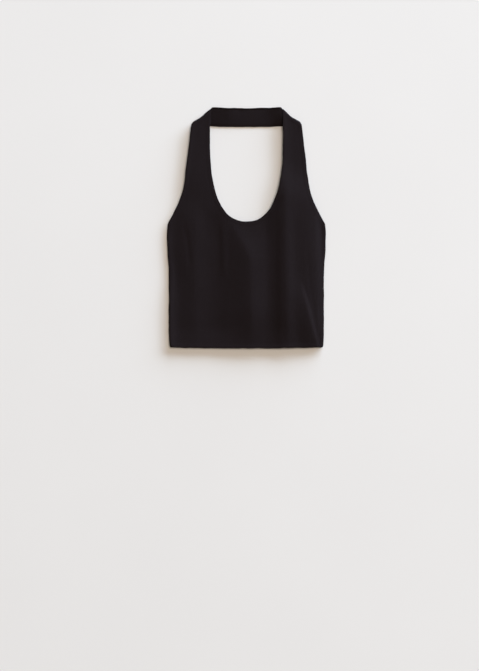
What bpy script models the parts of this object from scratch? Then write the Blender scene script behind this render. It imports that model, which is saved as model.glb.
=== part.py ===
"""A halter neck top in doubled jersey, laid flat on a level surface with its front uppermost.

The front is one cut piece: the body and the two straps that rise from it. The back is a second,
lower piece that ends level with the underarms. A band joins the tops of the two straps behind
the neck. X runs across the garment, Y from hem to neck band and Z up from the surface. The
origin is on the surface, under the middle of the whole outline.

Every panel is drawn as the middle of its cloth and given its thickness by a Solidify modifier.
"Up" below is the distance along Y above the middle of the hem.
"""

import math

import bmesh
import bpy

MM = 0.001

# Driving dimensions of the finished garment, laid flat.
LENGTH = 516 * MM  # hem to the highest point of the neck band
SIDE_SEAM_TOP = 267 * MM  # up: where side seam, armhole and back panel meet
NECK_BOTTOM = 271.4 * MM  # up: the lowest point of the neckline
NECK_WIDEST = 445 * MM  # up: where the neck opening is widest
NECK_HALF_WIDTH = 78 * MM
BACK_TOP_MIDDLE = 259 * MM  # up: the back's upper edge dips a little behind
HEM_RISE = 2 * MM  # the hem's corners lie this much above its middle
BACK_HEM_RISE = 1 * MM  # the back's hem hides this far behind the front's

# The cloth, and how the pieces lie on each other.
CLOTH = 1.2 * MM  # two layers of jersey
SEAM_GAP = 0.3 * MM
ROLL = 1.1 * MM  # the turn of a panel into its seam, at the middle of the cloth
STUB = 0.25 * MM  # the upright last bit of a panel at its seam
ROLL_STEPS = 3
BED = CLOTH / 2  # height of the back panel and of the neck band, at the middle of the cloth
SEAM_HEIGHT = BED + ROLL + STUB + SEAM_GAP / 2
FRONT_REST = CLOTH * 1.5 + SEAM_GAP  # the front where it lies on the back
FRONT_AT_SEAM = SEAM_HEIGHT + SEAM_GAP / 2 + STUB + ROLL
SEAM_REACH = 15 * MM  # how far in from a seam its bulk still lifts the front
ROLL_OUT = 20 * MM  # the roll of the side seam runs out over this much of the armhole

# Half the outline from hem to underarm.
SIDE = (  # up, half width
    (0 * MM, 163.6 * MM),
    (20 * MM, 165.4 * MM),
    (165 * MM, 166.0 * MM),
    (218 * MM, 168.9 * MM),
    (245 * MM, 170.0 * MM),
    (SIDE_SEAM_TOP, 168.7 * MM),
)

# The armhole: the strap's straight outer edge, swept out to the underarm at its foot.
STRAP_FOOT = 358 * MM  # up: where the sweep starts
STRAP_LEAN = 0.118  # across for each unit down
SWEEP_POWER = 1.8
NECK_POWER = 2.4  # of the superellipse that the neckline follows

# The slanting line where the right strap is sewn to the neck band, from the band's upper edge
# to the armhole.
SHOULDER = (  # across, below the top
    (73.0 * MM, 0.0 * MM),
    (97.2 * MM, 22.4 * MM),
    (114.4 * MM, 31.0 * MM),
    (118.2 * MM, 38.1 * MM),
)
STRAP_INSIDE = 77.2 * MM  # across: the neck side of the strap at that line
SHOULDER_EASE = 70 * MM  # the strap's rows bend to that line over this length
BAND_MIDDLE = (472.5 * MM, 513.2 * MM)  # up: the band's lower and upper edge at its middle

# How high the front lies above its rest: the straps arch over the surface.
ARCH = (  # up, lift
    (0 * MM, 0.0 * MM),
    (235 * MM, 0.0 * MM),
    (300 * MM, 1.2 * MM),
    (380 * MM, 2.8 * MM),
    (450 * MM, 2.2 * MM),
    (LENGTH, FRONT_AT_SEAM - FRONT_REST),
)

# The largest folds of the front. Each is a soft ridge that runs up from the hem.
FOLDS = (  # crest across, bends at up, lean after that, reach left, reach right, height, fades at up
    (-112 * MM, 0 * MM, 0.0, 40 * MM, 40 * MM, 2.0 * MM, 330 * MM),
    (5 * MM, 205 * MM, -0.64, 76 * MM, 50 * MM, 3.8 * MM, 380 * MM),
    (98 * MM, 0 * MM, -0.05, 38 * MM, 42 * MM, 3.6 * MM, 350 * MM),
    (153 * MM, 28 * MM, -0.10, 18 * MM, 24 * MM, 1.6 * MM, 290 * MM),
)
FOLD_FADE = 60 * MM

# Panel grids.
BODY_ROWS, STRAP_ROWS, COLUMNS = 13, 20, 14
BACK_ROWS, BACK_COLUMNS = 9, 6
BAND_ROWS, BAND_COLUMNS = 5, 9

JERSEY_COLOUR = (0.016, 0.0125, 0.0132, 1.0)
JERSEY_ROUGHNESS = 0.85


def ease(share):
    """0 to 1, level at both ends."""
    share = min(max(share, 0.0), 1.0)
    return share * share * (3 - 2 * share)


def curve(rows, at):
    """The smooth curve through a table's rows, read at one value of its first column.

    It never swings past the rows, so it is level wherever they turn or stay level.
    """
    steps = [(y1 - y0) / (x1 - x0) for (x0, y0), (x1, y1) in zip(rows, rows[1:])]
    slopes = [steps[0]]
    for before, after in zip(steps, steps[1:]):
        slopes.append(2 * before * after / (before + after) if before * after > 0 else 0.0)
    slopes.append(steps[-1])
    at = min(max(at, rows[0][0]), rows[-1][0])
    k = max(i for i in range(len(rows) - 1) if rows[i][0] <= at)
    (x0, y0), (x1, y1) = rows[k], rows[k + 1]
    t, span = (at - x0) / (x1 - x0), x1 - x0
    return (
        y0 * (1 + 2 * t) * (1 - t) ** 2
        + y1 * t * t * (3 - 2 * t)
        + span * (slopes[k] * t * (1 - t) ** 2 - slopes[k + 1] * t * t * (1 - t))
    )


def along(points, share):
    """The point at a share of a polyline's length."""
    lengths = [math.dist(a, b) for a, b in zip(points, points[1:])]
    left = share * sum(lengths)
    for a, b, length in zip(points, points[1:], lengths):
        if left <= length:
            t = left / length
            return (a[0] + (b[0] - a[0]) * t, a[1] + (b[1] - a[1]) * t)
        left -= length
    return points[-1]


def side_seam(up):
    """Half the width at the middle of the cloth where it turns down into the side seam."""
    return curve(SIDE, up) - CLOTH / 2


def neckline(steps=60):
    """Half the neckline from its lowest point to the strap's top, as points (across, up)."""
    depth = NECK_WIDEST - NECK_BOTTOM
    points = []
    for k in range(steps + 1):
        angle = math.pi / 2 * k / steps
        across = NECK_HALF_WIDTH * math.sin(angle) ** (2 / NECK_POWER)
        points.append((across, NECK_WIDEST - depth * math.cos(angle) ** (2 / NECK_POWER)))
    return points + [strap_end(0.0)]


def armhole(steps=40):
    """The armhole from the underarm to the strap's top, as points (across, up)."""
    top = strap_end(1.0)
    sweep_height = STRAP_FOOT - SIDE_SEAM_TOP
    straight_foot = top[0] + STRAP_LEAN * (top[1] - SIDE_SEAM_TOP)
    sweep_width = side_seam(SIDE_SEAM_TOP) - straight_foot
    points = []
    for k in range(steps + 1):
        up = SIDE_SEAM_TOP + (top[1] - SIDE_SEAM_TOP) * k / steps
        sweep = (max(STRAP_FOOT - up, 0.0) / sweep_height) ** SWEEP_POWER
        points.append((top[0] + STRAP_LEAN * (top[1] - up) + sweep_width * sweep, up))
    return points


def shoulder_slant():
    """The unit normal of the shoulder line from end to end, as (across, up)."""
    run = SHOULDER[-1][0] - SHOULDER[0][0]
    fall = SHOULDER[-1][1] - SHOULDER[0][1]
    return fall / math.hypot(run, fall), run / math.hypot(run, fall)


def shoulder_up(across):
    """How far up the shoulder line is at a distance from the middle."""
    for (x0, below0), (x1, below1) in zip(SHOULDER, SHOULDER[1:]):
        if across <= x1:
            return LENGTH - below0 - (below1 - below0) * (across - x0) / (x1 - x0)
    return LENGTH - SHOULDER[-1][1]


def strap_end(share):
    """Where the flat of the strap ends, before it rolls over into the shoulder seam."""
    across = STRAP_INSIDE + (SHOULDER[-1][0] - STRAP_INSIDE) * share
    return across, shoulder_up(across) - (CLOTH / 2 + ROLL) / shoulder_slant()[1]


def roll_steps():
    """The turn into a seam as (distance in from the edge, drop), from the flat to the seam."""
    steps = []
    for k in range(1, ROLL_STEPS + 1):
        angle = math.pi / 2 * k / ROLL_STEPS
        steps.append((ROLL * (1 - math.sin(angle)), ROLL * (1 - math.cos(angle))))
    return steps + [(0.0, ROLL + STUB)]


def fold_height(across, up):
    """The height of the front's folds above where it would lie."""
    height = 0.0
    for crest, bend, lean, left, right, rise, top in FOLDS:
        crest += lean * max(up - bend, 0.0)
        reach = left if across < crest else right
        t = abs(across - crest) / reach
        if t < 1:
            height += rise * math.cos(math.pi / 2 * t) ** 2 * ease((top - up) / FOLD_FADE)
    return height


def front_height(across, up, in_from_side):
    """The middle of the front's cloth above the surface. Its side seam's bulk holds it up."""
    by_seam = math.exp(-((max(in_from_side - ROLL, 0.0) / SEAM_REACH) ** 2))
    by_seam *= ease((SIDE_SEAM_TOP + ROLL_OUT - up) / ROLL_OUT)
    free = FRONT_REST + curve(ARCH, up) + fold_height(across, up) * (1 - by_seam)
    return free * (1 - by_seam) + FRONT_AT_SEAM * by_seam


def panel_row(inner, outer, columns):
    """Points (across, up, in from the edge, roll step) from the middle of a panel to its edge."""
    width = outer[0] - inner[0]
    insets = [(width - (width - ROLL) * k / columns, 0.0) for k in range(columns + 1)]
    row = []
    for inset, drop in insets + roll_steps():
        share = 1 - inset / width
        up = inner[1] + (outer[1] - inner[1]) * share * share
        row.append((inner[0] + width * share, up, inset, drop))
    return row


def body_row(share, middle_up, hem_rise, columns):
    """One row of a body panel, from its middle to its side seam."""
    up = hem_rise + (SIDE_SEAM_TOP - hem_rise) * share
    return panel_row((0.0, middle_up), (side_seam(up), up), columns)


def strap_row(share, necks, arms):
    """One row of the right strap, from the neckline to the armhole.

    Towards the top the rows bend to the slant of the shoulder line.
    """
    inner, outer = along(necks, share), along(arms, share)
    top_inner, top_outer = strap_end(0.0), strap_end(1.0)
    slanted = ease(1 - (top_inner[1] - inner[1]) / SHOULDER_EASE)
    row = []
    for across, up, inset, drop in panel_row(inner, outer, COLUMNS):
        part = (across - inner[0]) / (outer[0] - inner[0])
        straight_up = top_inner[1] + (top_outer[1] - top_inner[1]) * part * part
        row.append((across, up + (strap_end(part)[1] - straight_up) * slanted, inset, drop))
    return row


def front_rows():
    """The right half of the front, row by row, as points (x, y, z) at the middle of the cloth."""
    rows = []
    for k in range(BODY_ROWS):
        share = k / BODY_ROWS
        rows.append(body_row(share, NECK_BOTTOM * share, HEM_RISE, COLUMNS))
    necks, arms = neckline(), armhole()
    for k in range(STRAP_ROWS + 1):
        rows.append(strap_row(k / STRAP_ROWS, necks, arms))
    return rows


def place_front(row, side):
    """A row's points in space, on the right (side 1) or the left (side -1)."""
    placed = []
    for across, up, inset, drop in row:
        rolled = ease((SIDE_SEAM_TOP + ROLL_OUT - up) / ROLL_OUT)
        height = front_height(side * across, up, inset)
        placed.append((side * across, up - LENGTH / 2, height - drop * rolled))
    return placed


def place_low(row, side):
    """A row of a piece that lies on the surface, its edge turned up into the seam."""
    return [(side * across, up - LENGTH / 2, BED + drop) for across, up, _, drop in row]


def new_object(name, mesh_data):
    """A panel: its mesh, its material and the modifier that gives it the cloth's thickness."""
    mesh = bpy.data.meshes.new(name)
    mesh_data.normal_update()
    mesh_data.to_mesh(mesh)
    mesh_data.free()
    mesh.shade_smooth()
    material = bpy.data.materials.new(name)
    material.use_nodes = True
    shader = material.node_tree.nodes["Principled BSDF"]
    shader.inputs["Base Color"].default_value = JERSEY_COLOUR
    shader.inputs["Roughness"].default_value = JERSEY_ROUGHNESS
    shader.inputs["Metallic"].default_value = 0.0
    mesh.materials.append(material)
    panel = bpy.data.objects.new(name, mesh)
    bpy.context.scene.collection.objects.link(panel)
    cloth = panel.modifiers.new("cloth", "SOLIDIFY")
    cloth.thickness = CLOTH
    cloth.offset = 0.0
    cloth.use_even_offset = True
    return panel


def fill(mesh_data, grid):
    """Quads between the rows of a grid of vertices, facing up where both run right and away."""
    for low, high in zip(grid, grid[1:]):
        for k in range(len(low) - 1):
            mesh_data.faces.new((low[k], low[k + 1], high[k + 1], high[k]))


def mirrored_grid(mesh_data, rows, place):
    """One grid for both halves of a panel, which share the points of the middle line."""
    grid = []
    for row in rows:
        right = [mesh_data.verts.new(p) for p in place(row, 1)]
        left = [mesh_data.verts.new(p) for p in place(row, -1)[1:]]
        grid.append(left[::-1] + right)
    return grid


def build_front():
    """The body and both straps in one piece, open at the neck."""
    mesh_data = bmesh.new()
    rows = front_rows()
    body = mirrored_grid(mesh_data, rows[: BODY_ROWS + 1], place_front)
    fill(mesh_data, body)
    strap_top = rows[-1]
    for side in (1, -1):
        middle = len(body[-1]) // 2
        foot = body[-1][middle:] if side > 0 else body[-1][: middle + 1][::-1]
        grid = [foot]
        for row in rows[BODY_ROWS + 1 :]:
            grid.append([mesh_data.verts.new(p) for p in place_front(row, side)])
        for inset, drop in roll_steps():
            turned = []
            for x, y, z in place_front(strap_top, side):
                y += (ROLL - inset) / shoulder_slant()[1]
                turned.append(mesh_data.verts.new((x, y, z - drop)))
            grid.append(turned)
        fill(mesh_data, grid if side > 0 else [row[::-1] for row in grid])
    return new_object("front_panel", mesh_data)


def build_back():
    """The lower panel, flat on the surface, with its sides turned up into the side seams."""
    mesh_data = bmesh.new()
    rows = []
    for k in range(BACK_ROWS + 1):
        share = k / BACK_ROWS
        middle_up = BACK_HEM_RISE + (BACK_TOP_MIDDLE - BACK_HEM_RISE) * share
        rows.append(body_row(share, middle_up, HEM_RISE + BACK_HEM_RISE, BACK_COLUMNS))
    fill(mesh_data, mirrored_grid(mesh_data, rows, place_low))
    return new_object("back_panel", mesh_data)


def band_end(share):
    """The shoulder line at a share of its fall, as (across, up)."""
    below = SHOULDER[-1][1] * share
    for (x0, below0), (x1, below1) in zip(SHOULDER, SHOULDER[1:]):
        if below <= below1:
            return x0 + (x1 - x0) * (below - below0) / (below1 - below0), LENGTH - below
    return SHOULDER[-1][0], LENGTH - below


def band_row(share):
    """Half a row of the neck band at a share of its height from its upper edge."""
    slant = shoulder_slant()[0]
    end_across, end_up = band_end(share)
    end_across -= CLOTH / 2 / slant
    middle_up = BAND_MIDDLE[1] + (BAND_MIDDLE[0] - BAND_MIDDLE[1]) * share
    flat_end = end_across - ROLL / slant
    points = [(flat_end * k / BAND_COLUMNS, 0.0) for k in range(BAND_COLUMNS + 1)]
    points += [(end_across - inset / slant, drop) for inset, drop in roll_steps()]
    row = []
    for across, drop in points:
        up = middle_up + (end_up - middle_up) * (across / end_across) ** 2
        row.append((across, up, 0.0, drop))
    return row


def build_band():
    """The band behind the neck, flat under the strap tops, with its ends turned up to them."""
    mesh_data = bmesh.new()
    rows = [band_row(1 - k / BAND_ROWS) for k in range(BAND_ROWS + 1)]
    fill(mesh_data, mirrored_grid(mesh_data, rows, place_low))
    return new_object("neck_band", mesh_data)


for startup_object in list(bpy.data.objects):
    bpy.data.objects.remove(startup_object)
build_front()
build_back()
build_band()
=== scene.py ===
import math

import bpy
import bmesh
import numpy as np
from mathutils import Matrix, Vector, geometry, kdtree, noise


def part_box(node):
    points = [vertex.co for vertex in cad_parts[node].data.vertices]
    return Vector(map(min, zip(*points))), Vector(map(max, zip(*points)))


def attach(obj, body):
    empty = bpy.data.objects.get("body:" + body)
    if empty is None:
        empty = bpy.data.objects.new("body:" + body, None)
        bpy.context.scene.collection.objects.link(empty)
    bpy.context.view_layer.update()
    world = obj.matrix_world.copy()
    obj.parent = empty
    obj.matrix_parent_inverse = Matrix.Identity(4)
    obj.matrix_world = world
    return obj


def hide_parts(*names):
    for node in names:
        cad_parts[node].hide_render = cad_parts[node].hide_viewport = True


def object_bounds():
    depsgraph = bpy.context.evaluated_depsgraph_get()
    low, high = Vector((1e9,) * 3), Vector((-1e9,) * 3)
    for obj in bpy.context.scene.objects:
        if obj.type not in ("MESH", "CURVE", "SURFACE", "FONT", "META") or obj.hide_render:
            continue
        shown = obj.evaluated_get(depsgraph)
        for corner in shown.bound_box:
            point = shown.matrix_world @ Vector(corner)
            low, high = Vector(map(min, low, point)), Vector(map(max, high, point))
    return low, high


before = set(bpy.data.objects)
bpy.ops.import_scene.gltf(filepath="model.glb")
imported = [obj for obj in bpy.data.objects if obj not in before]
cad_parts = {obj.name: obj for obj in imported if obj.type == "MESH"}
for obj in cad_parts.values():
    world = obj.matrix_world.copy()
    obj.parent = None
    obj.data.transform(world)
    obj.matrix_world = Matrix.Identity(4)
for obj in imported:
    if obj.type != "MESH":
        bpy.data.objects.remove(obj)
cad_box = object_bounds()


# ---------------------------------------------------------------------------------------------
# The back panel: the lower back, cut straight across from underarm to underarm in fine black
# cotton jersey with a little stretch, used double. It lies flat on the surface, and its sides
# turn up into the side seams, where the front comes down to it.

MM = 0.001
HEM_Y = cad_box[0].y  # "up" below is measured from here
FULL_LENGTH = cad_box[1].y - HEM_Y
SIDE_SEAM_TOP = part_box("back_panel")[1].y - HEM_Y
BACK_TOP_DIP = 8 * MM
HEM_RISE = 2 * MM  # the corners of the hem are a little higher than its middle
BACK_HEM_RISE = 1 * MM
CLOTH = 1.2 * MM  # two layers of jersey
SEAM_HALF_GAP = 0.15 * MM
SEAM_HEIGHT = 2.1 * MM
CURL = 2.0 * MM  # how far in from a seam a panel starts to turn into it
EDGE_STEP = 2.0 * MM
EDGE_UNEVEN = 0.9 * MM  # sewn edges of a soft knit are never quite true
UNEVEN_WAVES = ((38.0, 1.3, 1.0), (95.0, 7.9, 0.4))  # to the metre, start, share
CORNER_ROUNDS, CURL_ROUNDS = 2, 4  # how often an edge is relaxed in its line and in its curl
ROUND_STEPS = (0.0, 0.1, 0.27, 0.58, 1.0)  # round the end of the cloth, as shares of its radius
CURL_STEPS = 6
EDGE_CLEARANCE = 0.7  # how near the grid may come to the edge, as a share of the wider spacing
BACK_GRID = 6 * MM
HEM_STEPS, SIDE_STEPS = 20, 60

# Half the outline from hem to underarm.
HEM_HALF_WIDTH, UNDERARM_HALF_WIDTH = 163.6 * MM, 168.7 * MM
SIDE = (  # up, half width
    (0 * MM, HEM_HALF_WIDTH),
    (20 * MM, 165.4 * MM),
    (165 * MM, 166.0 * MM),
    (218 * MM, 168.9 * MM),
    (245 * MM, 170.0 * MM),
    (SIDE_SEAM_TOP, UNDERARM_HALF_WIDTH),
)

# The face of the knit: columns of small V-shaped loops that run from hem to neck.
WALE = 0.85 * MM  # one column of loops
COURSE = 0.62 * MM  # one row of loops
LOOP_RISE = 1.3  # rows that a loop's legs climb on their way out
LOOP_DEPTH = 0.07 * MM
STREAKS = (240.0, 9.0, 1.0)  # to the metre, across and along the columns
CLOUDS = 22.0  # to the metre
FUZZ = 2600.0
JERSEY_DARK = (0.0072, 0.0048, 0.0054, 1.0)  # painted shade between the loops, and the darker yarn tone
JERSEY_LIGHT = (0.0153, 0.0106, 0.0117, 1.0)  # painted light on the loops, and the lighter yarn tone


class Value:
    """A socket of a material's nodes that takes part in expressions like a number."""

    def __init__(self, finish, socket):
        self.finish = finish
        self.socket = socket

    def join(self, operation, first, second=0.0):
        return self.finish.add("ShaderNodeMath", {"operation": operation}, {0: first, 1: second})

    def __add__(self, other):
        return self.join("ADD", self, other)

    def __radd__(self, other):
        return self.join("ADD", other, self)

    def __sub__(self, other):
        return self.join("SUBTRACT", self, other)

    def __rsub__(self, other):
        return self.join("SUBTRACT", other, self)

    def __mul__(self, other):
        return self.join("MULTIPLY", self, other)

    def __rmul__(self, other):
        return self.join("MULTIPLY", other, self)

    def __truediv__(self, other):
        return self.join("DIVIDE", self, other)

    def __rtruediv__(self, other):
        return self.join("DIVIDE", other, self)

    def __abs__(self):
        return self.join("ABSOLUTE", self)

    def fraction(self):
        return self.join("FRACT", self)

    def sine(self):
        return self.join("SINE", self)


class Finish:
    """One material and the nodes that make it."""

    def __init__(self, name):
        self.material = bpy.data.materials.new(name)
        self.material.use_nodes = True
        self.tree = self.material.node_tree
        self.shader = self.tree.nodes["Principled BSDF"]

    def add(self, kind, settings=None, values=None, output=0):
        """A node of any kind: its settings, then what goes into its sockets. Gives one output."""
        node = self.tree.nodes.new(kind)
        for key, setting in (settings or {}).items():
            setattr(node, key, setting)
        for key, value in (values or {}).items():
            self.feed(node.inputs[key], value)
        return Value(self, node.outputs[output])

    def feed(self, socket, value):
        if isinstance(value, Value):
            self.tree.links.new(value.socket, socket)
        else:
            socket.default_value = value

    def shade(self, **values):
        """Values and links for the surface shader, by socket name with _ for a space."""
        for key, value in values.items():
            self.feed(self.shader.inputs[key.replace("_", " ")], value)
        return self.material


def jersey(name):
    """The knit as a material. The cloth's own UV map is in metres, with V along the columns."""
    finish = Finish(name)
    place = finish.add("ShaderNodeUVMap", {"uv_map": "cloth"})
    parts = finish.add("ShaderNodeSeparateXYZ", values={0: place}).socket.node
    across = Value(finish, parts.outputs["X"])
    along = Value(finish, parts.outputs["Y"])

    # Each loop is a V: two legs that rise outward from the middle of its column.
    from_middle = abs((across / WALE).fraction() - 0.5)
    leg = (from_middle * (2 * math.pi)).sine()
    row = ((along / COURSE + from_middle * LOOP_RISE).fraction() * math.pi).sine()
    loops = leg * (0.45 + row * 0.55)

    # Yarn is never quite even: long faint streaks along the columns, and soft clouds.
    stretched = finish.add("ShaderNodeMapping", values={0: place, "Scale": STREAKS})
    streaks = finish.add("ShaderNodeTexNoise", values={"Vector": stretched, "Scale": 1.0})
    clouds = finish.add("ShaderNodeTexNoise", values={"Vector": place, "Scale": CLOUDS, "Detail": 3.0})
    fuzz = finish.add("ShaderNodeTexNoise", values={"Vector": place, "Scale": FUZZ, "Detail": 2.0})

    # The loops paint shade into the grooves between them and light on their tops; the streaks, clouds and
    # fuzz are the yarn's own uneven tone.
    light = 0.15 + loops * 0.55 + streaks * 0.25 + clouds * 0.15 + (fuzz - 0.5) * 0.25
    colour = finish.add(
        "ShaderNodeMix",
        {"data_type": "RGBA"},
        {0: light, 6: JERSEY_DARK, 7: JERSEY_LIGHT},
        output=2,
    )
    bump = finish.add(
        "ShaderNodeBump",
        values={"Height": loops + fuzz * 0.3, "Distance": LOOP_DEPTH, "Strength": 0.7},
    )
    return finish.shade(
        Base_Color=colour,
        Roughness=0.76 + clouds * 0.08 + (1 - loops) * 0.12,
        Specular_IOR_Level=0.05,
        Sheen_Weight=0.02,
        Sheen_Roughness=0.45,
        Normal=bump,
    )


def ease(share):
    """0 to 1, level at both ends."""
    share = np.clip(share, 0.0, 1.0)
    return share * share * (3 - 2 * share)


def curve(rows, at):
    """The smooth curve through a table's rows, level where they turn, read at many places."""
    places, heights = np.array(rows, float).T
    steps = np.diff(heights) / np.diff(places)
    slopes = np.zeros(len(places))
    slopes[0], slopes[-1] = steps[0], steps[-1]
    same_way = steps[:-1] * steps[1:] > 0
    total = np.where(same_way, steps[:-1] + steps[1:], 1.0)
    slopes[1:-1] = np.where(same_way, 2 * steps[:-1] * steps[1:] / total, 0.0)
    at = np.clip(at, places[0], places[-1])
    k = np.clip(np.searchsorted(places, at, side="right") - 1, 0, len(places) - 2)
    span = places[k + 1] - places[k]
    t = (at - places[k]) / span
    return (
        heights[k] * (1 + 2 * t) * (1 - t) ** 2
        + heights[k + 1] * t * t * (3 - 2 * t)
        + span * (slopes[k] * t * (1 - t) ** 2 - slopes[k + 1] * t * t * (1 - t))
    )


def both_sides(half):
    """A closed edge from its right half. Rows are (across, up, curl), from middle to middle."""
    half = np.array(half, float)
    left = half[::-1][1:-1] * (-1, 1, 1)
    return np.vstack([half, left])


def inward(loop):
    """The unit normal that points into a loop, at each of its points."""
    ahead = np.roll(loop, -1, axis=0) - np.roll(loop, 1, axis=0)
    ahead /= np.hypot(*ahead.T)[:, None]
    return np.column_stack([-ahead[:, 1], ahead[:, 0]])


def relaxed(loop):
    """The loop with each point moved a little towards the middle of its neighbours."""
    return (np.roll(loop, 1, axis=0) + 2 * loop + np.roll(loop, -1, axis=0)) / 4


def even_edge(edge):
    """The edge with evenly spaced points, softened corners and a slightly uneven line."""
    closed = np.vstack([edge, edge[:1]])
    steps = np.hypot(*np.diff(closed[:, :2], axis=0).T)
    length = np.concatenate([[0.0], np.cumsum(steps)])
    even = np.linspace(0, length[-1], int(length[-1] / EDGE_STEP), endpoint=False)
    edge = np.column_stack([np.interp(even, length, column) for column in closed.T])
    for turn in range(CURL_ROUNDS):
        softer = relaxed(edge)
        edge[:, 2] = softer[:, 2]
        if turn < CORNER_ROUNDS:
            edge[:, :2] = softer[:, :2]
    uneven = np.zeros(len(edge))
    for waves, start, share in UNEVEN_WAVES:
        uneven += [share * noise.noise((x * waves, y * waves, start)) for x, y in edge[:, :2]]
    edge[:, :2] += inward(edge[:, :2]) * (EDGE_UNEVEN * uneven)[:, None]
    return edge


def edge_profile():
    """How a panel ends: rows of (inset if free, inset if curled, share of drop, half thickness).

    A free edge is a fold of cloth, round in section. At a seam the panel turns into it first.
    """
    radius = CLOTH / 2
    turn = CURL - radius
    rows = []
    for step in ROUND_STEPS:
        half = radius * math.sqrt(1 - (1 - step) ** 2)
        rows.append((step * radius, radius, 1 - step * radius / CURL, half))
    for k in range(1, CURL_STEPS + 1):
        angle = math.pi / 2 * k / CURL_STEPS
        free = radius + turn * k / CURL_STEPS
        curled = radius + turn * (1 - math.cos(angle))
        rows.append((free, curled, turn * (1 - math.sin(angle)) / CURL, radius))
    return rows


def search_tree(loop):
    """The points of a loop, ready to be asked for the nearest one."""
    tree = kdtree.KDTree(len(loop))
    for k, (x, y) in enumerate(loop):
        tree.insert((x, y, 0), k)
    tree.balance()
    return tree


def grid_inside(loop, spacing):
    """Points of an even triangular grid that lie well inside a loop of points."""
    tree = search_tree(loop)
    clear = max(spacing, EDGE_STEP) * EDGE_CLEARANCE
    x0, y0 = loop.T
    x1, y1 = np.roll(loop, -1, axis=0).T
    points = []
    rows = np.arange(y0.min() + spacing / 2, y0.max(), spacing * math.sqrt(3) / 2)
    for number, y in enumerate(rows):
        crossed = (y0 <= y) != (y1 <= y)
        cuts = x0[crossed] + (y - y0[crossed]) / (y1[crossed] - y0[crossed]) * (x1 - x0)[crossed]
        cuts = np.sort(cuts)
        shift = number % 2 / 2  # every other row is shifted by half a step
        for start, end in zip(cuts[::2], cuts[1::2]):
            for k in range(math.ceil(start / spacing - shift), int(end / spacing - shift) + 1):
                x = (k + shift) * spacing
                if tree.find((x, y, 0))[2] > clear:
                    points.append((x, y))
    return np.array(points)


def distances(points, loop):
    """How far each point is from the nearest point of a loop."""
    tree = search_tree(loop)
    return np.array([tree.find((x, y, 0))[2] for x, y in points])


def panel(name, edge, spacing, flat, tip, bulk=None):
    """A closed shell of cloth inside an edge, as an object in the frame's own place.

    flat gives the height of the middle of the cloth, tip the height its curled edges reach, and
    bulk what the upper face gains, each at places given as across and up.
    """
    curl = edge[:, 2]
    place = edge[:, :2]
    last_inset = 0.0
    places, cloth_places, heights, halves = [], [], [], []
    profile = edge_profile()
    for free, curled, share, half in profile:
        inset = free * (1 - curl) + curled * curl
        place = place + inward(place) * (inset - last_inset)[:, None]
        if half == CLOTH / 2:
            place = relaxed(relaxed(place))
        last_inset = inset
        level = flat(*place.T)
        places.append(place)
        cloth_places.append(place - inward(place) * (share * curl * CURL)[:, None])
        heights.append(level + (tip - level) * share * curl)
        halves.append(np.full(len(edge), half))
    inner = grid_inside(places[-1], spacing)
    places.append(inner)
    cloth_places.append(inner)
    heights.append(flat(*inner.T))
    halves.append(np.full(len(inner), CLOTH / 2))
    places, cloth_places = np.vstack(places), np.vstack(cloth_places)
    heights, halves = np.concatenate(heights), np.concatenate(halves)

    # The faces of the middle of the cloth: strips round the edge, triangles inside them.
    faces = []
    count = len(edge)
    start = (len(profile) - 1) * count
    for ring in range(0, start, count):
        for k in range(count):
            a, b = ring + k, ring + (k + 1) % count
            faces.append((a, b, b + count, a + count))
    found = geometry.delaunay_2d_cdt(
        [Vector(p) for p in places[start:]], [], [list(range(count))], 1, 1e-7
    )
    for face in found[2]:
        faces.append([start + found[3][k][0] for k in face])

    middle = bmesh.new()
    for (x, y), z in zip(places, heights):
        middle.verts.new((x, HEM_Y + y, z))
    middle.verts.ensure_lookup_table()
    for face in faces:
        middle.faces.new([middle.verts[k] for k in face])
    middle.normal_update()
    normals = np.array([corner.normal for corner in middle.verts])
    points = np.array([corner.co for corner in middle.verts])
    middle.free()

    # Its two faces, joined where the half thickness is nothing.
    gain = 0.0
    if bulk is not None:
        gain = bulk(*places.T) * halves * 2 / CLOTH
    upper = points + normals * (halves + gain)[:, None]
    lower = points - normals * halves[:, None]
    shell = bmesh.new()
    uv = shell.loops.layers.uv.new("cloth")
    tops = [shell.verts.new(p) for p in upper]
    bottoms = [tops[k] if halves[k] == 0 else shell.verts.new(p) for k, p in enumerate(lower)]
    for face in faces:
        for side, corners in ((tops, face), (bottoms, face[::-1])):
            made = shell.faces.new([side[k] for k in corners])
            made.smooth = True
            for loop, k in zip(made.loops, corners):
                loop[uv].uv = cloth_places[k]
    mesh = bpy.data.meshes.new(name)
    shell.to_mesh(mesh)
    shell.free()
    piece = bpy.data.objects.new(name, mesh)
    bpy.context.scene.collection.objects.link(piece)
    return piece


def flat_area(edge):
    """The area inside an edge."""
    x, y = edge[:, 0], edge[:, 1]
    return float(abs(np.sum(x * np.roll(y, -1) - y * np.roll(x, -1))) / 2)


def hem_edge(rise):
    """The right half of a hem whose middle is this far up."""
    places = np.linspace(0, HEM_HALF_WIDTH, HEM_STEPS)
    return [(x, rise + HEM_RISE * (x / HEM_HALF_WIDTH) ** 2, 0) for x in places]


def side_edge(hem_corner):
    """The right side seam, from the hem's corner to the underarm."""
    return [(curve(SIDE, up), up, 1) for up in np.linspace(hem_corner, SIDE_SEAM_TOP, SIDE_STEPS)]


def back_edge():
    """The back's outline: a slightly curved hem, the side seams and a top that dips a little."""
    top = []
    for share in np.linspace(0, 1, HEM_STEPS)[1:]:
        top.append((UNDERARM_HALF_WIDTH * (1 - share), SIDE_SEAM_TOP - BACK_TOP_DIP * ease(share), 0))
    half = hem_edge(BACK_HEM_RISE) + side_edge(BACK_HEM_RISE + HEM_RISE) + top
    return even_edge(both_sides(half))


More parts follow.
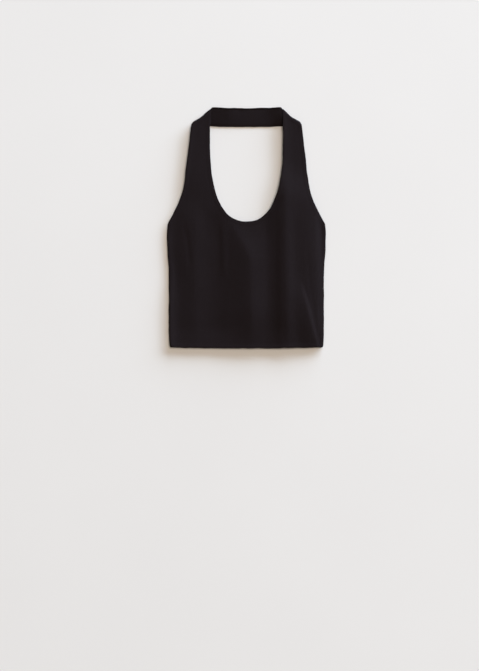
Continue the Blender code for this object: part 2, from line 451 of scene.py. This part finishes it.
back_outline = back_edge()
back_panel = panel(
    "back_cloth",
    back_outline,
    spacing=BACK_GRID,
    flat=lambda x, y: np.full(len(x), CLOTH / 2),
    tip=SEAM_HEIGHT - SEAM_HALF_GAP,
)
back_panel.data.materials.append(jersey("back_jersey"))
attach(back_panel, "root")
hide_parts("back_panel")
flat_area(back_outline)


# ---------------------------------------------------------------------------------------------
# The neck band: a straight doubled strip that goes round the back of the neck. Its ends are cut
# on the slant and lie under the tops of the straps. A row of stitches holds its upper edge.

SHOULDER = (  # across, below the top: the slanting line where the right strap meets the band
    (73.0 * MM, 0.0 * MM),
    (97.2 * MM, 22.4 * MM),
    (114.4 * MM, 31.0 * MM),
    (118.2 * MM, 38.1 * MM),
)
BAND_LOWER = 473.5 * MM  # up: the band's lower edge at its middle
BAND_UPPER = 514.0 * MM  # up: its upper edge there, a little below its ends
STITCH_DEPTH = 4.4 * MM  # from the upper edge to the row of stitches
STITCH_GROOVE, GROOVE_REACH = 0.42 * MM, 1.0 * MM
EDGE_PUFF, PUFF_REACH = 0.35 * MM, 2.0 * MM  # the edge above the stitches is fuller
LOWER_EDGE_PRESS, PRESS_REACH = 0.45 * MM, 4.0 * MM  # the fold along the lower edge is pressed flat
BAND_GRID = 1.2 * MM
BAND_STEPS = 24
BAND_RAISE = (  # across, height of the upper edge
    (-120 * MM, 0.3 * MM),
    (-100 * MM, 1.0 * MM),
    (-78 * MM, 2.9 * MM),
    (-45 * MM, 3.2 * MM),
    (-8 * MM, 0.9 * MM),
    (40 * MM, 0.5 * MM),
    (72 * MM, 3.0 * MM),
    (100 * MM, 1.0 * MM),
    (120 * MM, 0.3 * MM),
)


def band_upper_edge(x):
    """How far up the band's upper edge is: a shallow curve that ends at the straps."""
    return BAND_UPPER + (FULL_LENGTH - BAND_UPPER) * np.clip(np.abs(x) / SHOULDER[0][0], 0, 1) ** 2


def band_lower_edge(x):
    """How far up the band's lower edge is, a like curve."""
    end_rise = FULL_LENGTH - SHOULDER[-1][1] - BAND_LOWER
    return BAND_LOWER + end_rise * (x / SHOULDER[-1][0]) ** 2


def band_edge():
    """The band's outline: its two long edges and the slanting ends."""
    lower = [(x, band_lower_edge(x), 0) for x in np.linspace(0, SHOULDER[-1][0], BAND_STEPS)]
    slant = [(across, FULL_LENGTH - below, 1) for across, below in SHOULDER[::-1]]
    upper = [(x, band_upper_edge(x), 0) for x in np.linspace(SHOULDER[0][0], 0, BAND_STEPS)]
    return even_edge(both_sides(lower + slant + upper))


def band_height(x, y):
    """The middle of the band's cloth: its upper edge is held up next to the straps."""
    share = np.clip((y - BAND_LOWER) / (BAND_UPPER - BAND_LOWER), 0, 1)
    return CLOTH / 2 + curve(BAND_RAISE, x) * share


def band_bulk(x, y):
    """What the band's face gains: full above the stitches, pulled in by them, pressed below."""
    below_edge = band_upper_edge(x) - y
    groove = np.exp(-(((below_edge - STITCH_DEPTH) / GROOVE_REACH) ** 2))
    puff = ease((STITCH_DEPTH - below_edge) / PUFF_REACH)
    pressed = np.exp(-(((band_lower_edge(x) - y) / PRESS_REACH) ** 2))
    return EDGE_PUFF * puff - STITCH_GROOVE * groove - LOWER_EDGE_PRESS * pressed


band_outline = band_edge()
neck_band = panel(
    "neck_band_cloth",
    band_outline,
    spacing=BAND_GRID,
    flat=band_height,
    tip=SEAM_HEIGHT - SEAM_HALF_GAP,
    bulk=band_bulk,
)
neck_band.data.materials.append(jersey("band_jersey"))
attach(neck_band, "root")
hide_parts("neck_band")


# ---------------------------------------------------------------------------------------------
# The edge stitching: one row of straight machine stitches in black thread, sewn through the band
# a few millimetres below its upper edge, from one strap to the other.

STITCH_LENGTH = 2.3 * MM
STITCH_PITCH = 2.9 * MM
THREAD = 0.42 * MM
THREAD_PROUD = 0.3  # the share of the thread's thickness that the row stands above the groove
STITCH_ROW_END = 74 * MM  # across: where the row goes under the straps
STITCH_LEAN = (0.05, 0.05, 0.09)  # radians, either way
ROW_POINTS = 120
TWIST = 1800.0  # to the metre
THREAD_DARK = (0.007, 0.005, 0.006, 1.0)
THREAD_LIGHT = (0.020, 0.015, 0.017, 1.0)


def stitch_row():
    """The line of the stitches, in the groove that they pull into the band."""
    x = np.linspace(-STITCH_ROW_END, STITCH_ROW_END, ROW_POINTS)
    y = band_upper_edge(x) - STITCH_DEPTH
    z = band_height(x, y) + CLOTH / 2 - STITCH_GROOVE + THREAD * THREAD_PROUD
    mesh = bpy.data.meshes.new("stitch_row")
    points = [(a, HEM_Y + b, c) for a, b, c in zip(x, y, z)]
    mesh.from_pydata(points, [(k, k + 1) for k in range(len(points) - 1)], [])
    row = bpy.data.objects.new("stitch_row", mesh)
    bpy.context.scene.collection.objects.link(row)
    return row


def thread(name):
    """Polished cotton thread: black, a little smoother than the jersey."""
    finish = Finish(name)
    spot = finish.add("ShaderNodeTexCoord", output=3)
    twist = finish.add("ShaderNodeTexNoise", values={"Vector": spot, "Scale": TWIST, "Detail": 2.0})
    colour = finish.add(
        "ShaderNodeMix",
        {"data_type": "RGBA"},
        {0: twist, 6: THREAD_DARK, 7: THREAD_LIGHT},
        output=2,
    )
    return finish.shade(Base_Color=colour, Roughness=0.42 + twist * 0.1, Specular_IOR_Level=0.2)


def stitch_tree(material):
    """Geometry nodes that lay stitches along a line of edges."""
    tree = bpy.data.node_groups.new("stitches", "GeometryNodeTree")
    sizes = {"Length": STITCH_LENGTH, "Pitch": STITCH_PITCH, "Thread": THREAD}
    tree.interface.new_socket("Row", in_out="INPUT", socket_type="NodeSocketGeometry")
    for name in sizes:
        tree.interface.new_socket(name, in_out="INPUT", socket_type="NodeSocketFloat")
    tree.interface.new_socket("Stitches", in_out="OUTPUT", socket_type="NodeSocketGeometry")
    given = tree.nodes.new("NodeGroupInput")
    result = tree.nodes.new("NodeGroupOutput")

    def node(kind, settings=None, **inputs):
        """A node of any kind: its settings, then its sockets by name with _ for a space."""
        made = tree.nodes.new(kind)
        for key, setting in (settings or {}).items():
            setattr(made, key, setting)
        for key, value in inputs.items():
            socket = made.inputs[key.replace("_", " ")]
            if isinstance(value, bpy.types.NodeSocket):
                tree.links.new(value, socket)
            else:
                socket.default_value = value
        return made

    line = node("GeometryNodeMeshToCurve", Mesh=given.outputs["Row"])
    even = node(
        "GeometryNodeResampleCurve",
        {"mode": "LENGTH"},
        Curve=line.outputs[0],
        Length=given.outputs["Pitch"],
    )
    tangent = node("GeometryNodeInputTangent")
    facing = node("FunctionNodeAlignRotationToVector", {"axis": "X"}, Vector=tangent.outputs[0])
    lean = node("FunctionNodeRandomValue", {"data_type": "FLOAT_VECTOR"}, Seed=11)
    lean.inputs[0].default_value = [-angle for angle in STITCH_LEAN]
    lean.inputs[1].default_value = STITCH_LEAN
    turned = node("FunctionNodeRotateRotation", {"rotation_space": "LOCAL"}, Rotation=facing.outputs[0])
    tree.links.new(lean.outputs[0], turned.inputs[1])
    size = node("ShaderNodeCombineXYZ", X=given.outputs["Length"], Y=given.outputs["Thread"])
    tree.links.new(given.outputs["Thread"], size.inputs["Z"])
    bead = node("GeometryNodeMeshUVSphere", Segments=8, Rings=6, Radius=0.5)
    laid = node(
        "GeometryNodeInstanceOnPoints",
        Points=even.outputs[0],
        Instance=bead.outputs["Mesh"],
        Rotation=turned.outputs[0],
        Scale=size.outputs[0],
    )
    real = node("GeometryNodeRealizeInstances", Geometry=laid.outputs[0])
    coated = node("GeometryNodeSetMaterial", Geometry=real.outputs[0], Material=material)
    tree.links.new(coated.outputs[0], result.inputs[0])
    return tree, sizes


row = stitch_row()
tree, stitch_sizes = stitch_tree(thread("band_thread"))
modifier = row.modifiers.new("stitches", "NODES")
modifier.node_group = tree
for item in tree.interface.items_tree:
    if item.in_out == "INPUT" and item.name in stitch_sizes:
        modifier[item.identifier] = stitch_sizes[item.name]
evaluated = row.evaluated_get(bpy.context.evaluated_depsgraph_get())
stitch_mesh = bpy.data.meshes.new_from_object(evaluated)
stitch_mesh.name = "edge_stitches"
bpy.data.objects.remove(row)
edge_stitches = bpy.data.objects.new("edge_stitches", stitch_mesh)
bpy.context.scene.collection.objects.link(edge_stitches)
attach(edge_stitches, "root")

flat_area(band_outline)


# ---------------------------------------------------------------------------------------------
# The front panel: the body and both straps in one piece of doubled jersey, clean at every edge.
# It lies over the back, stays up a little where seams and the hem hold it, and falls in soft
# folds between. The straps arch over the surface to the neck band.

NECK_BOTTOM = 271.4 * MM  # up: the lowest point of the neckline
NECK_WIDEST = 445 * MM  # up: where the neck opening is widest
NECK_HALF_WIDTH = 78 * MM
NECK_POWER = 2.4  # of the superellipse that the neckline follows
STRAP_INSIDE = 77.2 * MM  # across: the neck side of the strap at its top
STRAP_FOOT = 358 * MM  # up: where the armhole starts to sweep out
STRAP_LEAN = 0.118
SWEEP_POWER = 1.8
FRONT_REST = 2.1 * MM  # the middle of the cloth where the front lies on the back
ALLOWANCE = 7 * MM  # the seam allowance inside makes the edges this far in a little fuller
ALLOWANCE_RISE, ALLOWANCE_STEP = 0.22 * MM, 2 * MM
FRONT_GRID = 2.6 * MM
NECK_STEPS = 80

ARCH = (  # up, lift
    (0 * MM, 0.0 * MM),
    (235 * MM, 0.0 * MM),
    (300 * MM, 1.3 * MM),
    (380 * MM, 2.4 * MM),
    (450 * MM, 2.8 * MM),
    (516 * MM, 3.8 * MM),
)
STRAP_TILT, STRAP_MIDDLE = -0.04, 100 * MM  # both straps fall a little towards the right
STRAPS_START, STRAPS_RUN_IN = 300 * MM, 80 * MM
FOLDS = (  # left foot, crest, right foot, bends at up, lean after that, height, fades at up, over
    (-152 * MM, -110 * MM, -70 * MM, 0 * MM, 0.0, 2.8 * MM, 330 * MM, 90 * MM),
    (-73 * MM, 8 * MM, 48 * MM, 202 * MM, -0.62, 5.4 * MM, 330 * MM, 140 * MM),
    (-73 * MM, 88 * MM, 150 * MM, 0 * MM, -0.02, 3.6 * MM, 380 * MM, 140 * MM),
    (50 * MM, 90 * MM, 146 * MM, 0 * MM, -0.02, 4.2 * MM, 410 * MM, 90 * MM),
)
FOLD_CREST = 7 * MM  # how round the top of a fold is
FOLD_FOOT = 0.07  # how softly it starts, as a share of its reach
FOLD_LEAST = 34 * MM  # the shortest reach of a fold
FOLD_BEND = 12 * MM  # how gently a fold changes its way
LUMPS = 0.5 * MM  # low swells between the folds
LUMP_WAVES = (22, 13)  # to the metre, across and up
TOUCH_SOFTNESS = 0.5 * MM  # how softly a trough comes down to the cloth below
CREASES = (  # from across, up, to across, up, bow, reach left, reach right, height
    (110 * MM, 150 * MM, 158 * MM, -30 * MM, 2 * MM, 40 * MM, 9 * MM, 1.4 * MM),
    (131 * MM, 245 * MM, 153 * MM, 38 * MM, -6 * MM, 8 * MM, 7 * MM, -0.2 * MM),
    (-136 * MM, 278 * MM, -120 * MM, 160 * MM, 3 * MM, 9 * MM, 9 * MM, -0.35 * MM),
    (-160 * MM, 190 * MM, -158 * MM, 120 * MM, 1 * MM, 5 * MM, 6 * MM, 0.6 * MM),
    (-52 * MM, 290 * MM, -48 * MM, 140 * MM, 1 * MM, 9 * MM, 14 * MM, 0.5 * MM),
    (75 * MM, -60 * MM, 73 * MM, 345 * MM, 1 * MM, 13 * MM, 30 * MM, 0.6 * MM),
    (151 * MM, -50 * MM, 141 * MM, 370 * MM, 2 * MM, 50 * MM, 21 * MM, 3.3 * MM),
    (76 * MM, 290 * MM, 77 * MM, 570 * MM, 0 * MM, 20 * MM, 26 * MM, 1.2 * MM),
)
HEM_LIFT = (  # across, lift
    (-170 * MM, 2.0 * MM),
    (-110 * MM, 1.0 * MM),
    (-73 * MM, 1.7 * MM),
    (-30 * MM, 0.9 * MM),
    (8 * MM, 0.0 * MM),
    (46 * MM, 0.6 * MM),
    (90 * MM, 0.0 * MM),
    (150 * MM, 0.0 * MM),
    (170 * MM, 0.0 * MM),
)
HEM_SETTLE = 0.46  # the share of a fold that is lost at the hem
HEM_SETTLE_REACH = 90 * MM
HEM_LIFT_REACH = 48 * MM
LEFT_LIFT = ((0 * MM, 2.6 * MM), (100 * MM, 2.5 * MM), (160 * MM, 1.0 * MM), (200 * MM, 0.7 * MM))
RIGHT_LIFT = 0.6 * MM
SIDE_LIFT_REACH = 15 * MM
SIDE_RUN_OUT = 20 * MM  # the lift of the side seam runs out over this much of the armhole
HEM_LIFT_AT_SIDES = 0.4  # the share of the hem's lift that is left there
CREASE_ENDS = 0.3  # the share of its length over which a crease fades, at each end


def neckline():
    """The right half of the neckline, from the strap's top down to its lowest point."""
    top = FULL_LENGTH - np.interp(STRAP_INSIDE, *np.array(SHOULDER).T)
    points = [(STRAP_INSIDE, top, 0)]
    for angle in np.linspace(math.pi / 2, 0, NECK_STEPS):
        across = NECK_HALF_WIDTH * math.sin(angle) ** (2 / NECK_POWER)
        up = NECK_WIDEST - (NECK_WIDEST - NECK_BOTTOM) * math.cos(angle) ** (2 / NECK_POWER)
        points.append((across, up, 0))
    return points


def armhole():
    """The right armhole from the underarm to the strap's top."""
    across, below = SHOULDER[-1]
    top = FULL_LENGTH - below
    foot = across + STRAP_LEAN * (top - SIDE_SEAM_TOP)
    points = []
    for up in np.linspace(SIDE_SEAM_TOP, top, SIDE_STEPS)[1:]:
        sweep = (max(STRAP_FOOT - up, 0.0) / (STRAP_FOOT - SIDE_SEAM_TOP)) ** SWEEP_POWER
        points.append((across + STRAP_LEAN * (top - up) + (UNDERARM_HALF_WIDTH - foot) * sweep, up, 0))
    return points


def front_edge():
    """The front's outline: hem, side seams, armholes, slanting strap tops and neckline."""
    slant = [(across, FULL_LENGTH - below, 1) for across, below in SHOULDER[:0:-1]]
    half = hem_edge(0.0) + side_edge(HEM_RISE) + armhole() + slant + neckline()
    return even_edge(both_sides(half))


def fold_heights(x, y):
    """The large soft folds that run up from the hem: round crests with straight flanks."""
    height = np.zeros(len(x))
    for left, crest, right, bend, lean, rise, top, fade in FOLDS:
        crest = crest + lean * FOLD_BEND * np.logaddexp(0.0, (y - bend) / FOLD_BEND)
        away = x - crest
        reach = np.maximum(np.where(away < 0, crest - left, right - crest), FOLD_LEAST)
        gone = (np.sqrt(away**2 + FOLD_CREST**2) - FOLD_CREST) / reach
        height += rise * FOLD_FOOT * np.logaddexp(0.0, (1 - gone) / FOLD_FOOT) * ease((top - y) / fade)
    return height


def crease_heights(x, y):
    """The smaller ridges and troughs, each along its own slightly bowed line."""
    height = np.zeros(len(x))
    for x0, y0, x1, y1, bow, left, right, rise in CREASES:
        run, climb = x1 - x0, y1 - y0
        length = math.hypot(run, climb)
        along = ((x - x0) * run + (y - y0) * climb) / length**2
        away = ((x - x0) * climb - (y - y0) * run) / length * math.copysign(1, climb)
        away = away - bow * 4 * along * (1 - along)
        t = np.minimum(np.abs(away) / np.where(away < 0, left, right), 1.0)
        ends = ease(along / CREASE_ENDS) * ease((1 - along) / CREASE_ENDS)
        height += rise * np.cos(math.pi / 2 * t) ** 2 * ends
    return height


def front_height(x, y):
    """The middle of the front's cloth above the surface."""
    inside = np.maximum(curve(SIDE, y) - np.abs(x), 0.0)
    by_side = np.exp(-((inside / SIDE_LIFT_REACH) ** 2))
    by_side *= ease((SIDE_SEAM_TOP + SIDE_RUN_OUT - y) / SIDE_RUN_OUT)
    by_hem = 1 - ease(y / HEM_LIFT_REACH)
    settled = 1 - HEM_SETTLE * (1 - ease(y / HEM_SETTLE_REACH))
    folds = fold_heights(x, y) * settled * (1 - by_side)
    hem = curve(HEM_LIFT, x) * by_hem * (1 - (1 - HEM_LIFT_AT_SIDES) * by_side)
    across_waves, up_waves = LUMP_WAVES
    lumps = np.array([noise.noise((a * across_waves, b * up_waves, 3.7)) for a, b in zip(x, y)])
    free = folds + crease_heights(x, y) + hem + LUMPS * lumps
    free = (free + np.sqrt(free**2 + TOUCH_SOFTNESS**2)) / 2
    tilt = STRAP_TILT * (np.abs(x) - STRAP_MIDDLE) * np.sign(x) * ease((y - STRAPS_START) / STRAPS_RUN_IN)
    sides = np.where(x < 0, curve(LEFT_LIFT, y), RIGHT_LIFT) * by_side
    return FRONT_REST + curve(ARCH, y) + tilt + free + sides


def front_bulk(x, y):
    """What the front's face gains over the seam allowance inside it."""
    from_edge = distances(np.column_stack([x, y]), front_outline[:, :2])
    return ALLOWANCE_RISE * (1 - ease((from_edge - ALLOWANCE) / ALLOWANCE_STEP + 0.5))


front_outline = front_edge()
front_panel = panel(
    "front_cloth",
    front_outline,
    spacing=FRONT_GRID,
    flat=front_height,
    tip=SEAM_HEIGHT + SEAM_HALF_GAP,
    bulk=front_bulk,
)
front_panel.data.materials.append(jersey("front_jersey"))
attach(front_panel, "root")
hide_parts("front_panel")
flat_area(front_outline)


# ---------------------------------------------------------------------------------------------
# The surface: a plain, matt, off-white sheet of board that the garment lies on, wide enough to
# have no edge in sight. It is part of the studio, not of the garment.

SURFACE_REACH = 40.0
SURFACE_DROP = 0.2 * MM  # just clear of the cloth that rests on it
SURFACE_SHADE = (0.80, 0.785, 0.77, 1.0)
SURFACE_LIGHT = (0.83, 0.815, 0.80, 1.0)

finish = Finish("pale_surface")
spot = finish.add("ShaderNodeTexCoord", output=3)
cloudy = finish.add("ShaderNodeTexNoise", values={"Vector": spot, "Scale": 3.0, "Detail": 4.0})
pale = finish.add(
    "ShaderNodeMix",
    {"data_type": "RGBA"},
    {0: cloudy, 6: SURFACE_SHADE, 7: SURFACE_LIGHT},
    output=2,
)
surface_mesh = bpy.data.meshes.new("surface")
corners = ((-1, -1), (1, -1), (1, 1), (-1, 1))
surface_mesh.from_pydata(
    [(x * SURFACE_REACH, y * SURFACE_REACH, -SURFACE_DROP) for x, y in corners],
    [],
    [(0, 1, 2, 3)],
)
surface_mesh.materials.append(finish.shade(Base_Color=pale, Roughness=0.9, Specular_IOR_Level=0.2))
surface = bpy.data.objects.new("surface", surface_mesh)
bpy.context.scene.collection.objects.link(surface)


# ---------------------------------------------------------------------------------------------
# The light: a very wide, low, cool window and a smaller, high, warm softbox, both from the upper
# right, so that shadows fall soft and warm to the lower left. A dim warm room fills them.

ROOM_COLOUR = (0.98, 0.865, 0.66, 1.0)
ROOM_STRENGTH = 0.228


def lamp(name, size, power, colour, azimuth, elevation, distance):
    """A rectangular light that faces the garment from a direction given in degrees."""
    light = bpy.data.lights.new(name, "AREA")
    light.shape = "RECTANGLE"
    light.size, light.size_y = size
    light.energy = power
    light.color = colour
    turn, rise = math.radians(azimuth), math.radians(elevation)
    way = Vector((math.cos(turn) * math.cos(rise), math.sin(turn) * math.cos(rise), math.sin(rise)))
    holder = bpy.data.objects.new(name, light)
    holder.location = way * distance
    holder.rotation_mode = "QUATERNION"
    holder.rotation_quaternion = way.to_track_quat("Z", "Y")
    bpy.context.scene.collection.objects.link(holder)


lamp("window", (30.0, 6.4), 30300.0, (0.675, 0.825, 1.0), azimuth=55, elevation=8, distance=24)
lamp("softbox", (10.8, 10.8), 1610.0, (0.98, 0.835, 0.73), azimuth=42, elevation=66, distance=18)
room = bpy.data.worlds.new("studio")
room.use_nodes = True
room.node_tree.nodes["Background"].inputs["Color"].default_value = ROOM_COLOUR
room.node_tree.nodes["Background"].inputs["Strength"].default_value = ROOM_STRENGTH
bpy.context.scene.world = room


# ---------------------------------------------------------------------------------------------
# The camera: straight above the surface and looking down, three metres up, with the garment in
# the upper half of what it takes in.

CAMERA_HEIGHT = 3.0
CAMERA_PLACE = (-0.0148, -0.2305)  # across, up, from the middle of the garment
SHOWN_HEIGHT = 1.4349  # what it takes in from top to bottom, three metres below it
CLOTH_LEVEL = 4 * MM  # the level there, about that of the cloth
SENSOR = 36.0

camera_data = bpy.data.cameras.new("camera")
camera_data.sensor_width = SENSOR
camera_data.lens = SENSOR * CAMERA_HEIGHT / SHOWN_HEIGHT
camera = bpy.data.objects.new("camera", camera_data)
camera.location = (*CAMERA_PLACE, CAMERA_HEIGHT + CLOTH_LEVEL)
bpy.context.scene.collection.objects.link(camera)
bpy.context.scene.camera = camera
bpy.context.scene.view_settings.view_transform = "Standard"
